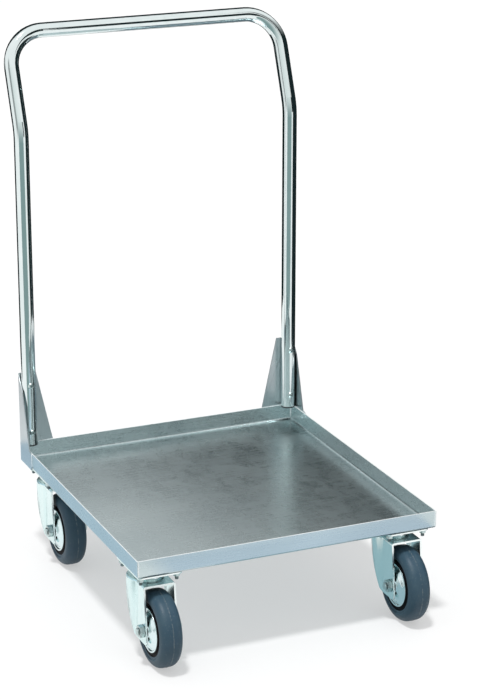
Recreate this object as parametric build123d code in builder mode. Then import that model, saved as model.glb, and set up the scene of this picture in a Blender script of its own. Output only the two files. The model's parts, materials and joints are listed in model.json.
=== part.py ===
from build123d import *

import math
import os

# Transport dolly: a folded tray on four swivel casters, pushed by one bent-tube handle.
# Millimetres. X runs along the front edge, Y from the front edge to the handle, Z up.
# The origin is on the floor, under the middle of the dolly's outline.

# Tray
tray_width = 515.0
tray_length = 560.0
rim_height = 30.0
tray_sheet = 1.5
tray_fold_radius = 5.0

# Wheel
wheel_diameter = 125.0
tyre_width = 37.0
tyre_shoulder_radius = 14.0
tyre_side_radius = 43.5
tyre_bead_step = 0.6
tyre_bead_height = 3.0
base_ring_width = 35.6
base_ring_taper = 1.0
rim_radius = 36.4
rim_width = 37.0
rim_lip = 2.2
disc_sheet = 2.0
disc_crown_width = 45.0
disc_foot_width = 31.0
disc_foot_radius = 32.0
hub_radius = 13.5
hub_proud = 4.5
hub_play = 0.8
bearing_wall = 2.5
bearing_end_gap = 2.0
bearing_clearance = 0.05
sleeve_wall = 1.5

# Axle
axle_diameter = 12.0
axle_clearance = 0.1
axle_hex = 18.0
axle_head_height = 7.5
axle_nut_height = 8.0
axle_end_proud = 3.0

# Fork
fork_sheet = 3.0
fork_bend_radius = 3.5
crown_clearance = 8.5
crown_front = 43.0
fork_back_offset = 9.0
fork_back_swell = 6.7
fork_neck_radius = 10.0
leg_reach = 13.5
leg_drop = 22.0
leg_toe_radius = 6.0
leg_heel = 31.0
leg_heel_radius = 10.0
leg_knee_radius = 12.0
back_wall_height = 20.0
back_wall_front = 19.0
caster_trail = 40.0

# Swivel head
head_height = 16.0
cup_radius = 24.0
cup_web = 5.0
cup_skirt = 10.0
cup_wall = 1.6
cup_edge_radius = 1.2
boss_radius = 20.8
ball_diameter = 6.0
ball_circle_radius = 16.0
ball_count = 14
ball_groove_depth = 2.0
ball_clearance = 0.12
pin_diameter = 12.0
pin_clearance = 0.05
pin_head_diameter = 18.0
pin_head_height = 4.0
pin_head_gap = 0.3
pin_top_recess = 0.5

# Caster plate, the packing pad above it and the studs and nuts that hold them
plate_width = 74.0
plate_length = 100.0
plate_sheet = 3.0
pad_thickness = 4.0
plate_corner_radius = 7.0
bolt_pitch_x = 60.0
bolt_pitch_y = 80.0
caster_side_inset = 43.0
caster_front_inset = 61.0
caster_rear_inset = 64.0
bolt_diameter = 6.0
bolt_clearance = 0.3
bolt_hex = 10.0
nut_height = 5.0
washer_diameter = 12.0
washer_thickness = 1.2
stud_end = 6.0
stud_weld_diameter = 8.5
stud_weld_height = 0.9

# Handle
tube_diameter = 25.0
tube_wall = 1.5
tube_seat_gap = 0.2
handle_height = 910.0
handle_lean_start = 582.0
handle_lean = 21.5
handle_corner_radius = 60.0
handle_lean_radius = 80.0
tube_end_height = 33.0
plug_flange = 2.5
plug_insert = 14.0
plug_clearance = 0.2
handle_bolt_first = 23.0
handle_bolt_pitch = 85.0
handle_bolt_end = 2.5
handle_head_diameter = 10.5
handle_head_height = 3.3
handle_head_gap = 0.05

# Handle brackets
bracket_sheet = 2.0
bracket_bend_radius = 4.0
cheek_length = 58.0
cheek_height = 158.0
cheek_knee_back = 22.0
cheek_knee_drop = 29.0
cheek_foot_rise = 2.0
cheek_foot_back = 9.0
strip_width = 58.0
strip_top_width = 30.0

# Levels and places that follow from the sizes above
wheel_radius = wheel_diameter / 2
axle_z = wheel_radius
crown_under_z = wheel_diameter + crown_clearance
crown_top_z = crown_under_z + fork_sheet
plate_under_z = crown_top_z + head_height
pad_under_z = plate_under_z + plate_sheet
deck_under_z = pad_under_z + pad_thickness
deck_top_z = deck_under_z + tray_sheet
rim_top_z = deck_under_z + rim_height
tube_radius = tube_diameter / 2
bar_z = handle_height - tube_radius
lean_z = deck_under_z + handle_lean_start
lean_reach = (bar_z - lean_z) * math.tan(math.radians(handle_lean))
tube_end_z = deck_under_z + tube_end_height
post_x = tray_width / 2 - tube_radius - tube_seat_gap
post_behind_front = tray_length - tube_radius - tube_seat_gap

# The tray's front face, placed so that the outline's middle is at Y = 0
outline_front = caster_front_inset - caster_trail - wheel_radius
outline_rear = post_behind_front + lean_reach + tube_radius
front_y = -(outline_front + outline_rear) / 2
rear_y = front_y + tray_length
post_y = front_y + post_behind_front
bar_y = post_y + lean_reach
side_x = tray_width / 2

# Widths across the caster
hub_length = tyre_width + 2 * hub_proud
fork_inner_width = hub_length + 2 * hub_play
fork_width = fork_inner_width + 2 * fork_sheet
fork_rear = fork_back_offset + fork_width / 2 + fork_back_swell
sleeve_radius = axle_diameter / 2 + axle_clearance + sleeve_wall
bearing_inner_radius = sleeve_radius + bearing_clearance
hub_bore_radius = bearing_inner_radius + bearing_wall
ball_z = plate_under_z - cup_web - (ball_diameter / 2 - ball_groove_depth)
boss_top_z = ball_z - (ball_diameter / 2 - ball_groove_depth)
pin_radius = pin_diameter / 2

caster_places = {
    "front_left": (-side_x + caster_side_inset, front_y + caster_front_inset),
    "front_right": (side_x - caster_side_inset, front_y + caster_front_inset),
    "rear_left": (-side_x + caster_side_inset, rear_y - caster_rear_inset),
    "rear_right": (side_x - caster_side_inset, rear_y - caster_rear_inset),
}
caster_bolt_places = [
    (x + i * bolt_pitch_x / 2, y + j * bolt_pitch_y / 2)
    for x, y in caster_places.values()
    for i in (-1, 1)
    for j in (-1, 1)
]
handle_bolt_heights = [tube_end_z + handle_bolt_first + i * handle_bolt_pitch for i in range(2)]
handle_bolt_places = [(x, z) for x in (-post_x, post_x) for z in handle_bolt_heights]

os.makedirs("parts", exist_ok=True)


def keep(piece, name):
    """Labels a finished piece and writes it as its own file."""
    piece.part.label = name
    export_step(piece.part, f"parts/{name}.step")


def folded_box(width, length, height, radius, middle_y, bottom_z):
    """A block whose four lower edges are folds of one radius, mitred at the corners."""
    across = Plane(origin=(0, middle_y + length / 2, bottom_z), x_dir=(1, 0, 0), z_dir=(0, -1, 0))
    along = Plane(origin=(-width / 2, middle_y, bottom_z), x_dir=(0, 1, 0), z_dir=(1, 0, 0))
    with BuildPart() as block:
        with BuildSketch(across) as front_profile:
            Rectangle(width, height, align=(Align.CENTER, Align.MIN))
            fillet(front_profile.vertices().group_by(Axis.Y)[0], radius)
        extrude(amount=length)
        with BuildSketch(along) as side_profile:
            Rectangle(length, height, align=(Align.CENTER, Align.MIN))
            fillet(side_profile.vertices().group_by(Axis.Y)[0], radius)
        extrude(amount=width, mode=Mode.INTERSECT)
    return block.part


def turned(outline, plane):
    """A solid of revolution: outline is a list of (along the axis, radius) in the plane."""
    with BuildPart() as solid:
        with BuildSketch(plane):
            with BuildLine():
                Polyline(*outline, close=True)
            make_face()
        revolve(axis=Axis(plane.origin, plane.x_dir))
    return solid.part


def hexagon(across_flats, height, plane, hole_radius=0.0):
    """A hexagon along the plane's normal, its corners chamfered at both ends."""
    corner_radius = across_flats / math.sqrt(3)
    flat_radius = across_flats / 2
    bevel = (corner_radius - flat_radius) * math.tan(math.radians(30))
    turning = Plane(origin=plane.origin, x_dir=plane.z_dir, z_dir=plane.x_dir)
    with BuildPart() as hex_solid:
        with BuildSketch(plane):
            RegularPolygon(radius=flat_radius, side_count=6, major_radius=False)
            if hole_radius:
                Circle(hole_radius, mode=Mode.SUBTRACT)
        extrude(amount=height)
        with BuildSketch(turning):
            with BuildLine():
                Polyline(
                    (0, 0),
                    (0, flat_radius),
                    (bevel, corner_radius),
                    (height - bevel, corner_radius),
                    (height, flat_radius),
                    (height, 0),
                    close=True,
                )
            make_face()
        revolve(axis=Axis(turning.origin, turning.x_dir), mode=Mode.INTERSECT)
    return hex_solid.part


def ring(outer_radius, inner_radius, height, plane):
    """A flat ring along the plane's normal."""
    with BuildPart() as flat_ring:
        with BuildSketch(plane):
            Circle(outer_radius)
            Circle(inner_radius, mode=Mode.SUBTRACT)
        extrude(amount=height)
    return flat_ring.part


def domed_bolt(head_diameter, head_height, shank_diameter, shank_length, plane):
    """A low domed head at the plane's origin, its shank along the plane's x direction."""
    head_radius = head_diameter / 2
    shank_radius = shank_diameter / 2
    point = shank_diameter / 8
    dome_radius = (head_radius**2 + head_height**2) / (2 * head_height)
    half_turn = math.asin(head_radius / dome_radius) / 2
    dome_middle = (
        dome_radius * (1 - math.cos(half_turn)) - head_height,
        dome_radius * math.sin(half_turn),
    )
    with BuildPart() as bolt:
        with BuildSketch(plane):
            with BuildLine():
                ThreePointArc((-head_height, 0), dome_middle, (0, head_radius))
                Polyline(
                    (0, head_radius),
                    (0, shank_radius),
                    (shank_length - point, shank_radius),
                    (shank_length, shank_radius - point),
                    (shank_length, 0),
                    (-head_height, 0),
                )
            make_face()
        revolve(axis=Axis(plane.origin, plane.x_dir))
    return bolt.part


# Tray
tray_middle_y = front_y + tray_length / 2
tray_outside = folded_box(
    tray_width, tray_length, rim_height, tray_fold_radius, tray_middle_y, deck_under_z
)
tray_inside = folded_box(
    tray_width - 2 * tray_sheet,
    tray_length - 2 * tray_sheet,
    rim_height,
    tray_fold_radius - tray_sheet,
    tray_middle_y,
    deck_top_z,
)
with BuildPart() as base_tray:
    add(tray_outside)
    add(tray_inside, mode=Mode.SUBTRACT)
keep(base_tray, "base_tray")


# Holes for the bolts and studs
bolt_hole_radius = bolt_diameter / 2 + bolt_clearance


# Handle brackets: a tapered cheek outside the tray's side and a strip behind its rear rim
def handle_bracket(side):
    """side is -1 on the left and 1 on the right."""
    outer_x = side * (side_x + bracket_sheet)
    cheek_front_y = rear_y - cheek_length
    back_y = rear_y + bracket_sheet
    top_z = deck_under_z + cheek_height
    foot_z = rim_top_z + cheek_foot_rise
    with BuildPart() as bracket:
        with BuildSketch(Plane.XY.offset(deck_under_z)) as plan:
            with BuildLine():
                Polyline(
                    (outer_x, cheek_front_y),
                    (outer_x, back_y),
                    (side * (side_x - strip_width), back_y),
                    (side * (side_x - strip_width), rear_y),
                    (side * side_x, rear_y),
                    (side * side_x, cheek_front_y),
                    close=True,
                )
            make_face()
            fillet(plan.vertices().sort_by_distance((outer_x, back_y))[0], bracket_bend_radius)
        extrude(amount=cheek_height)
        # Side view: the cheek tapers from the rim to the top of the bend
        with BuildSketch(Plane.YZ.offset(-side_x - strip_width)):
            with BuildLine():
                Polyline(
                    (cheek_front_y, deck_under_z),
                    (cheek_front_y, foot_z - cheek_foot_rise),
                    (cheek_front_y + cheek_foot_back, foot_z),
                    (back_y - cheek_knee_back, top_z - cheek_knee_drop),
                    (rear_y, top_z),
                    (back_y, top_z),
                    (back_y, deck_under_z),
                    close=True,
                )
            make_face()
        extrude(amount=2 * (side_x + strip_width), mode=Mode.INTERSECT)
        # Back view: the strip narrows towards its top
        with BuildSketch(Plane.XZ.offset(-back_y)):
            with BuildLine():
                Polyline(
                    (outer_x, deck_under_z),
                    (outer_x, top_z),
                    (side * (side_x - strip_top_width), top_z),
                    (side * (side_x - strip_width), rim_top_z),
                    (side * (side_x - strip_width), deck_under_z),
                    close=True,
                )
            make_face()
        extrude(amount=cheek_length + bracket_sheet, mode=Mode.INTERSECT)
        with BuildSketch(Plane.XZ.offset(-back_y)):
            with Locations(*[(side * post_x, z) for z in handle_bolt_heights]):
                Circle(bolt_hole_radius)
        extrude(amount=bracket_sheet, mode=Mode.SUBTRACT)
    return bracket


keep(handle_bracket(-1), "handle_bracket_left")
keep(handle_bracket(1), "handle_bracket_right")

# Handle tube: one pipe, upright, then leaning back, then across the top
with BuildPart() as handle_tube:
    with BuildLine() as handle_route:
        FilletPolyline(
            (-post_x, post_y, tube_end_z),
            (-post_x, post_y, lean_z),
            (-post_x, bar_y, bar_z),
            (post_x, bar_y, bar_z),
            (post_x, post_y, lean_z),
            (post_x, post_y, tube_end_z),
            radius=[handle_lean_radius, handle_corner_radius, handle_corner_radius, handle_lean_radius],
        )
    with BuildSketch(Plane(origin=(-post_x, post_y, tube_end_z))):
        Circle(tube_radius)
        Circle(tube_radius - tube_wall, mode=Mode.SUBTRACT)
    sweep(path=handle_route.wires()[0])
    with BuildSketch(Plane.XZ.offset(-post_y)):
        with Locations(*handle_bolt_places):
            Circle(bolt_hole_radius)
    extrude(amount=tube_diameter, both=True, mode=Mode.SUBTRACT)
keep(handle_tube, "handle_tube")

# Plugs in the two open ends of the tube
plug_radius = tube_radius - tube_wall - plug_clearance
with BuildPart() as handle_end_plugs:
    with BuildSketch(Plane.XY.offset(tube_end_z)):
        with Locations((-post_x, post_y), (post_x, post_y)):
            Circle(tube_radius)
    extrude(amount=-plug_flange)
    with BuildSketch(Plane.XY.offset(tube_end_z)):
        with Locations((-post_x, post_y), (post_x, post_y)):
            Circle(plug_radius)
    extrude(amount=plug_insert)
keep(handle_end_plugs, "handle_end_plugs")

# Handle fasteners: domed bolts through the tube and the strip, nuts behind
handle_head_y = post_y - tube_radius - handle_head_gap
handle_back_y = rear_y + bracket_sheet
handle_shank = handle_back_y + nut_height + handle_bolt_end - handle_head_y
rearward = Plane(origin=(0, 0, 0), x_dir=(0, 1, 0), z_dir=(1, 0, 0))
behind = Plane(origin=(0, 0, 0), x_dir=(1, 0, 0), z_dir=(0, 1, 0))
handle_bolt = domed_bolt(
    handle_head_diameter, handle_head_height, bolt_diameter, handle_shank, rearward
)
nut_hole_radius = bolt_diameter / 2 + bolt_clearance / 3
handle_nut = hexagon(bolt_hex, nut_height, behind, nut_hole_radius)
with BuildPart() as handle_bolts:
    with Locations(*[(x, handle_head_y, z) for x, z in handle_bolt_places]):
        add(handle_bolt)
keep(handle_bolts, "handle_bolts")
with BuildPart() as handle_nuts:
    with Locations(*[(x, handle_back_y, z) for x, z in handle_bolt_places]):
        add(handle_nut)
keep(handle_nuts, "handle_nuts")

# Caster fasteners: studs welded under the tray floor, nuts under the plates
under = Plane(origin=(0, 0, 0), x_dir=(1, 0, 0), z_dir=(0, 0, -1))
downward = Plane(origin=(0, 0, 0), x_dir=(0, 0, -1), z_dir=(0, 1, 0))
stud_radius = bolt_diameter / 2
stud_point = bolt_diameter / 8
stud_weld_radius = stud_weld_diameter / 2
stud_length = pad_thickness + plate_sheet + washer_thickness + nut_height + stud_end
stud_outline = [
    (0, 0),
    (0, stud_weld_radius),
    (stud_weld_height, stud_weld_radius),
    (stud_weld_height, stud_radius),
    (stud_length - stud_point, stud_radius),
    (stud_length, stud_radius - stud_point),
    (stud_length, 0),
]
stud_hole_outline = [
    (0, 0),
    (0, stud_weld_radius + bolt_clearance),
    (stud_weld_height + bolt_clearance, stud_weld_radius + bolt_clearance),
    (stud_weld_height + bolt_clearance, bolt_hole_radius),
    (stud_length, bolt_hole_radius),
    (stud_length, 0),
]
caster_stud = turned(stud_outline, downward)
stud_hole = turned(stud_hole_outline, downward)
stud_places = [(x, y, deck_under_z) for x, y in caster_bolt_places]
caster_nut = hexagon(bolt_hex, nut_height, under, nut_hole_radius)
caster_washer = ring(washer_diameter / 2, bolt_hole_radius, washer_thickness, under)
with BuildPart() as caster_studs:
    with Locations(*stud_places):
        add(caster_stud)
keep(caster_studs, "caster_studs")
with BuildPart() as caster_washers:
    with Locations(*[(x, y, plate_under_z) for x, y in caster_bolt_places]):
        add(caster_washer)
keep(caster_washers, "caster_washers")
with BuildPart() as caster_nuts:
    with Locations(*[(x, y, plate_under_z - washer_thickness) for x, y in caster_bolt_places]):
        add(caster_nut)
keep(caster_nuts, "caster_nuts")

# Packing pads between the tray and the caster plates, on the same studs
with BuildPart() as caster_pads:
    with BuildSketch(Plane.XY.offset(pad_under_z)):
        with Locations(*caster_places.values()):
            RectangleRounded(plate_width, plate_length, plate_corner_radius)
    extrude(amount=pad_thickness)
    with Locations(*stud_places):
        add(stud_hole, mode=Mode.SUBTRACT)
keep(caster_pads, "caster_pads")


# Casters: each function builds one piece, its swivel axis on the Z axis
def caster_plate():
    with BuildPart() as plate:
        with BuildSketch(Plane.XY.offset(plate_under_z)):
            RectangleRounded(plate_width, plate_length, plate_corner_radius)
            with GridLocations(bolt_pitch_x, bolt_pitch_y, 2, 2):
                Circle(bolt_hole_radius, mode=Mode.SUBTRACT)
            Circle(pin_radius, mode=Mode.SUBTRACT)
        extrude(amount=plate_sheet)
    return plate


def race_cup():
    """The bright cup: a thick web with the upper ball groove, and a skirt round the lower race."""
    with BuildPart() as cup:
        with BuildSketch(Plane.XY.offset(plate_under_z)):
            Circle(cup_radius)
        extrude(amount=-cup_skirt)
        fillet(cup.faces().sort_by(Axis.Z)[0].edges(), cup_edge_radius)
        fillet(cup.faces().sort_by(Axis.Z)[-1].edges(), cup_edge_radius)
        with BuildSketch(Plane.XY.offset(plate_under_z - cup_web)):
            Circle(cup_radius - cup_wall)
        extrude(amount=-cup_skirt, mode=Mode.SUBTRACT)
        with BuildSketch(Plane.XY.offset(plate_under_z)):
            Circle(pin_radius)
        extrude(amount=-cup_web, mode=Mode.SUBTRACT)
        with BuildSketch(Plane.XZ):
            with Locations((ball_circle_radius, ball_z)):
                Circle(ball_diameter / 2 + ball_clearance)
        revolve(axis=Axis.Z, mode=Mode.SUBTRACT)
    return cup


def king_pin():
    """A pin through the head, its lower end set over as a flat head under the crown."""
    head_top_z = crown_under_z - pin_head_gap
    with BuildPart() as pin:
        with BuildSketch(Plane.XY.offset(head_top_z)):
            Circle(pin_radius)
        extrude(amount=pad_under_z - pin_top_recess - head_top_z)
        with BuildSketch(Plane.XY.offset(head_top_z)):
            Circle(pin_head_diameter / 2)
        extrude(amount=-pin_head_height)
        fillet(pin.faces().sort_by(Axis.Z)[0].edges(), pin_head_height / 3)
    return pin


def race_balls():
    with BuildPart() as balls:
        with Locations((0, 0, ball_z)):
            with PolarLocations(ball_circle_radius, ball_count):
                Sphere(ball_diameter / 2)
    return balls


def fork_plan(half_width, neck_radius, reach, plane):
    """Plan of the fork: a straight strip that swells into a round back round the swivel head."""
    back_radius = half_width + fork_back_swell
    neck_y = fork_back_offset - math.sqrt(back_radius**2 - half_width**2)
    with BuildSketch(plane) as plan:
        with Locations((0, fork_back_offset)):
            Rectangle(2 * half_width, fork_back_offset + reach, align=(Align.CENTER, Align.MAX))
            Circle(back_radius)
        necks = [plan.vertices().sort_by_distance((side * half_width, neck_y))[0] for side in (-1, 1)]
        fillet(necks, neck_radius)
    return plan.sketch


def fork():
    """Crown, raised lower race, round back and two legs, pressed from one sheet."""
    leg_end_z = axle_z - leg_drop
    back_wall_z = crown_top_z - back_wall_height
    leg_front = caster_trail + leg_reach
    crown_plane = Plane.XY.offset(crown_top_z)
    hollow_plane = Plane.XY.offset(crown_under_z)
    side_plane = Plane.YZ.offset(-fork_width)
    outside = fork_plan(fork_width / 2, fork_neck_radius, leg_front, crown_plane)
    hollow = fork_plan(
        fork_inner_width / 2, fork_neck_radius + fork_sheet, leg_front + fork_sheet, hollow_plane
    )
    with BuildPart() as body:
        extrude(outside, amount=leg_end_z - crown_top_z)
        # Side view: slanting front edge, rounded toe below the axle, steep rear edge up to the back wall
        with BuildSketch(side_plane) as outline:
            with BuildLine():
                Polyline(
                    (fork_rear, back_wall_z),
                    (fork_rear, crown_top_z),
                    (-crown_front, crown_top_z),
                    (-leg_front, leg_end_z),
                    (leg_heel - caster_trail, leg_end_z),
                    (back_wall_front, back_wall_z),
                    close=True,
                )
            make_face()
            leg_corners = {
                (-leg_front, leg_end_z): leg_toe_radius,
                (leg_heel - caster_trail, leg_end_z): leg_heel_radius,
                (back_wall_front, back_wall_z): leg_knee_radius,
            }
            for place, radius in leg_corners.items():
                fillet(outline.vertices().sort_by_distance(place)[0], radius)
        extrude(amount=2 * fork_width, mode=Mode.INTERSECT)
        top_edges = body.faces().sort_by(Axis.Z)[-1].edges()
        fillet(top_edges.filter_by(Axis.X, reverse=True), fork_bend_radius)
        # The space between the legs, open at the front and below
        extrude(hollow, amount=leg_end_z - crown_under_z, mode=Mode.SUBTRACT)
        # Raised lower race with its ball groove and the pin's bore
        with BuildSketch(crown_plane):
            Circle(boss_radius)
        extrude(amount=boss_top_z - crown_top_z)
        with BuildSketch(Plane.XZ):
            with Locations((ball_circle_radius, ball_z)):
                Circle(ball_diameter / 2 + ball_clearance)
        revolve(axis=Axis.Z, mode=Mode.SUBTRACT)
        with BuildSketch(hollow_plane):
            Circle(pin_radius + pin_clearance)
        extrude(amount=boss_top_z - crown_under_z, mode=Mode.SUBTRACT)
        with BuildSketch(side_plane):
            with Locations((-caster_trail, axle_z)):
                Circle(axle_diameter / 2 + axle_clearance)
        extrude(amount=2 * fork_width, mode=Mode.SUBTRACT)
    return body


# The axle: a plane through the wheel's centre whose x direction is the axle
axle_line = Plane(origin=(0, -caster_trail, axle_z), x_dir=(1, 0, 0), z_dir=(0, -1, 0))


def across_axle(along, facing):
    """A plane square to the axle, along it from the wheel's centre; facing is 1 to the right, -1 left."""
    return Plane(origin=(along, -caster_trail, axle_z), x_dir=(0, 1, 0), z_dir=(facing, 0, 0))


def axle_bolt():
    """Hexagon head outside the right leg, shank through both legs and the nut."""
    with BuildPart() as bolt:
        add(hexagon(axle_hex, axle_head_height, across_axle(fork_width / 2, 1)))
        with BuildSketch(across_axle(fork_width / 2, -1)):
            Circle(axle_diameter / 2)
        extrude(amount=fork_width + axle_nut_height + axle_end_proud)
        chamfer(bolt.faces().sort_by(Axis.X)[0].edges(), axle_diameter / 10)
    return bolt


def axle_nut():
    nut_plane = across_axle(-fork_width / 2, -1)
    with BuildPart() as nut:
        add(hexagon(axle_hex, axle_nut_height, nut_plane, axle_diameter / 2 + axle_clearance))
    return nut


def axle_sleeve():
    """Spacer tube clamped between the legs."""
    sleeve_plane = across_axle(-fork_inner_width / 2, 1)
    with BuildPart() as sleeve:
        add(ring(sleeve_radius, axle_diameter / 2 + axle_clearance, fork_inner_width, sleeve_plane))
    return sleeve


def roller_bearing():
    """Roller cage pressed into the hub."""
    length = hub_length - 2 * bearing_end_gap
    with BuildPart() as bearing:
        add(ring(hub_bore_radius, bearing_inner_radius, length, across_axle(-length / 2, 1)))
    return bearing


def mirrored(half_outline):
    """Completes a wheel section from its right half, listed from the bore outwards."""
    return half_outline + [(-along, radius) for along, radius in reversed(half_outline)]


def wheel_rim():
    """Pressed wheel centre: a hub tube and two discs that bulge towards it, each with a turned-out lip."""
    lip_radius = rim_radius - rim_lip
    outside = [
        (disc_crown_width / 2, hub_radius),
        (disc_foot_width / 2, disc_foot_radius),
        (rim_width / 2, lip_radius),
        (rim_width / 2, rim_radius),
    ]
    inside = [(along - disc_sheet, radius) for along, radius in reversed(outside)]
    half = [(hub_length / 2, hub_bore_radius), (hub_length / 2, hub_radius)] + outside + inside
    with BuildPart() as rim:
        add(turned(mirrored(half), axle_line))
    return rim


def tyre_base():
    """Black ring between the rim and the tread, narrower towards the tread."""
    half = [
        (base_ring_width / 2, rim_radius),
        (base_ring_width / 2 - base_ring_taper, tyre_side_radius),
    ]
    with BuildPart() as base:
        add(turned(mirrored(half), axle_line))
    return base


def tyre():
    """Solid rubber tread with round shoulders and a raised bead beside the black ring."""
    half_width = tyre_width / 2
    shoulder_x = half_width - tyre_shoulder_radius
    shoulder_z = wheel_radius - tyre_shoulder_radius
    foot_x = base_ring_width / 2 - base_ring_taper
    bead_x = foot_x + tyre_bead_step / 2
    bead_radius = tyre_side_radius + tyre_bead_height
    slant = math.radians(45)
    with BuildPart() as tread:
        with BuildSketch(axle_line):
            with BuildLine():
                for side in (-1, 1):
                    Polyline(
                        (side * foot_x, tyre_side_radius),
                        (side * bead_x, tyre_side_radius + tyre_bead_height / 3),
                        (side * bead_x, bead_radius),
                        (side * foot_x, bead_radius + tyre_bead_step / 2),
                        (side * half_width, shoulder_z),
                    )
                    ThreePointArc(
                        (side * half_width, shoulder_z),
                        (
                            side * (shoulder_x + tyre_shoulder_radius * math.sin(slant)),
                            shoulder_z + tyre_shoulder_radius * math.cos(slant),
                        ),
                        (side * shoulder_x, wheel_radius),
                    )
                Line((-shoulder_x, wheel_radius), (shoulder_x, wheel_radius))
                Line((-foot_x, tyre_side_radius), (foot_x, tyre_side_radius))
            make_face()
        revolve(axis=Axis(axle_line.origin, axle_line.x_dir))
    return tread


caster_pieces = {
    "caster_plate": caster_plate,
    "race_cup": race_cup,
    "king_pin": king_pin,
    "race_balls": race_balls,
    "fork": fork,
    "axle_bolt": axle_bolt,
    "axle_nut": axle_nut,
    "axle_sleeve": axle_sleeve,
    "roller_bearing": roller_bearing,
    "wheel_rim": wheel_rim,
    "tyre_base": tyre_base,
    "tyre": tyre,
}
for piece_name, build_piece in caster_pieces.items():
    master = build_piece()
    for corner, (corner_x, corner_y) in caster_places.items():
        with BuildPart() as placed:
            with Locations((corner_x, corner_y, 0)):
                add(master.part)
        keep(placed, f"{corner}_{piece_name}")
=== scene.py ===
import json
import math

import bmesh
import bpy
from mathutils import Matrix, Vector


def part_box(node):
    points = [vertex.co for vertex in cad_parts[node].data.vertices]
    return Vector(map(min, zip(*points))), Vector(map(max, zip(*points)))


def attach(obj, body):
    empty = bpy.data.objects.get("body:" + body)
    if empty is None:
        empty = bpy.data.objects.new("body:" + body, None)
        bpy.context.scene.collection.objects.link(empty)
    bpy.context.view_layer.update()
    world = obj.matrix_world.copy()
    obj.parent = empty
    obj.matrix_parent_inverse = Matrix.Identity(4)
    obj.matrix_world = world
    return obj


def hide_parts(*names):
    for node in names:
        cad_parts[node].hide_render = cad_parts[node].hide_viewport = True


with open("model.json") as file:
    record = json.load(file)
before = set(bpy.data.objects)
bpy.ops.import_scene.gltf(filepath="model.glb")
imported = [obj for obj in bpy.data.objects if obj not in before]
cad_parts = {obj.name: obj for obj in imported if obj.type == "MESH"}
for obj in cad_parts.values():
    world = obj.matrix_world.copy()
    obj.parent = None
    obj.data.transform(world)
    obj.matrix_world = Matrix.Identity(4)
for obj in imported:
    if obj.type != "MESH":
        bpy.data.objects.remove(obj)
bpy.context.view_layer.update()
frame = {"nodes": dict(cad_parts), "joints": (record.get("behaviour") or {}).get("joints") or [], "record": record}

# Metres. X runs along the tray's front edge, Y from the front edge to the handle, Z up.
mm = 0.001
nodes = frame["nodes"]
slot_of = {row["node"]: row["material_slot"] for row in frame["record"]["subparts"]}
joint_place = {joint["name"]: Vector(joint["pos_m"]) for joint in frame["joints"]}
corners = [name.removesuffix("_swivel_turn") for name in joint_place if name.endswith("_swivel_turn")]
tray_low, tray_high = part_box("base_tray")
sharp_angle = math.radians(32)


# Camera
camera_lens = 118.60
camera_azimuth = math.radians(-23.47)
camera_elevation = math.radians(18.36)
camera_distance = 3.815
camera_aim = Vector((0.043, 0.003, 0.401))


def make_camera():
    """Long lens, to the left of the tray's front and looking down on it."""
    back = Vector(
        (
            math.sin(camera_azimuth) * math.cos(camera_elevation),
            -math.cos(camera_azimuth) * math.cos(camera_elevation),
            math.sin(camera_elevation),
        )
    )
    data = bpy.data.cameras.new("camera")
    data.lens = camera_lens
    camera = bpy.data.objects.new("camera", data)
    camera.location = camera_aim + back * camera_distance
    camera.rotation_euler = (-back).to_track_quat("-Z", "Y").to_euler()
    bpy.context.scene.collection.objects.link(camera)
    bpy.context.scene.camera = camera


# Node helpers
def shader_of(material):
    """A material's node tree and its Principled shader."""
    tree = material.node_tree
    return tree, tree.nodes["Principled BSDF"]


def new_material(name):
    """A new material with only a Principled shader, its node tree and that shader."""
    material = bpy.data.materials.new(name)
    material.use_nodes = True
    return material, *shader_of(material)


def fed(shader, socket):
    """The output that feeds one of a shader's sockets."""
    return shader.inputs[socket].links[0].from_socket


def add_node(tree, kind, **inputs):
    """A new node with some of its inputs set."""
    node = tree.nodes.new(kind)
    for socket, value in inputs.items():
        node.inputs[socket].default_value = value
    return node


def component(tree, coordinate, axis):
    """One axis of the node's own coordinates: Object gives the place, Normal the way the surface faces."""
    source = tree.nodes.new("ShaderNodeTexCoord")
    split = tree.nodes.new("ShaderNodeSeparateXYZ")
    tree.links.new(source.outputs[coordinate], split.inputs["Vector"])
    return split.outputs[axis]


def noise(tree, scale, detail=3.0, roughness=0.5, distortion=0.0):
    """Noise with features about one over scale metres large along each axis."""
    source = tree.nodes.new("ShaderNodeTexCoord")
    mapping = add_node(tree, "ShaderNodeMapping", Scale=scale)
    texture = add_node(
        tree, "ShaderNodeTexNoise", Scale=1.0, Detail=detail, Roughness=roughness, Distortion=distortion
    )
    tree.links.new(source.outputs["Object"], mapping.inputs["Vector"])
    tree.links.new(mapping.outputs["Vector"], texture.inputs["Vector"])
    return texture.outputs["Fac"]


def spread(tree, value, low, high, from_low=0.3, from_high=0.7):
    """A value mapped to run from low to high."""
    node = tree.nodes.new("ShaderNodeMapRange")
    node.inputs["From Min"].default_value = from_low
    node.inputs["From Max"].default_value = from_high
    node.inputs["To Min"].default_value = low
    node.inputs["To Max"].default_value = high
    tree.links.new(value, node.inputs["Value"])
    return node.outputs["Result"]


def blended(tree, factor, first, second):
    """A colour between two colours, each a tuple or a socket."""
    node = tree.nodes.new("ShaderNodeMix")
    node.data_type = "RGBA"
    for socket, colour in ((node.inputs["A"], first), (node.inputs["B"], second)):
        if isinstance(colour, tuple):
            socket.default_value = (*colour, 1.0)
        else:
            tree.links.new(colour, socket)
    tree.links.new(factor, node.inputs["Factor"])
    return node.outputs["Result"]


def joined(tree, operation, first, second):
    """Two values, or a value and a number, through one math operation."""
    node = tree.nodes.new("ShaderNodeMath")
    node.operation = operation
    for socket, value in zip(node.inputs, (first, second)):
        if isinstance(value, float):
            socket.default_value = value
        else:
            tree.links.new(value, socket)
    return node.outputs["Value"]


def unsigned(tree, value):
    """A value without its sign."""
    return joined(tree, "ABSOLUTE", value, 0.0)


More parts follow.
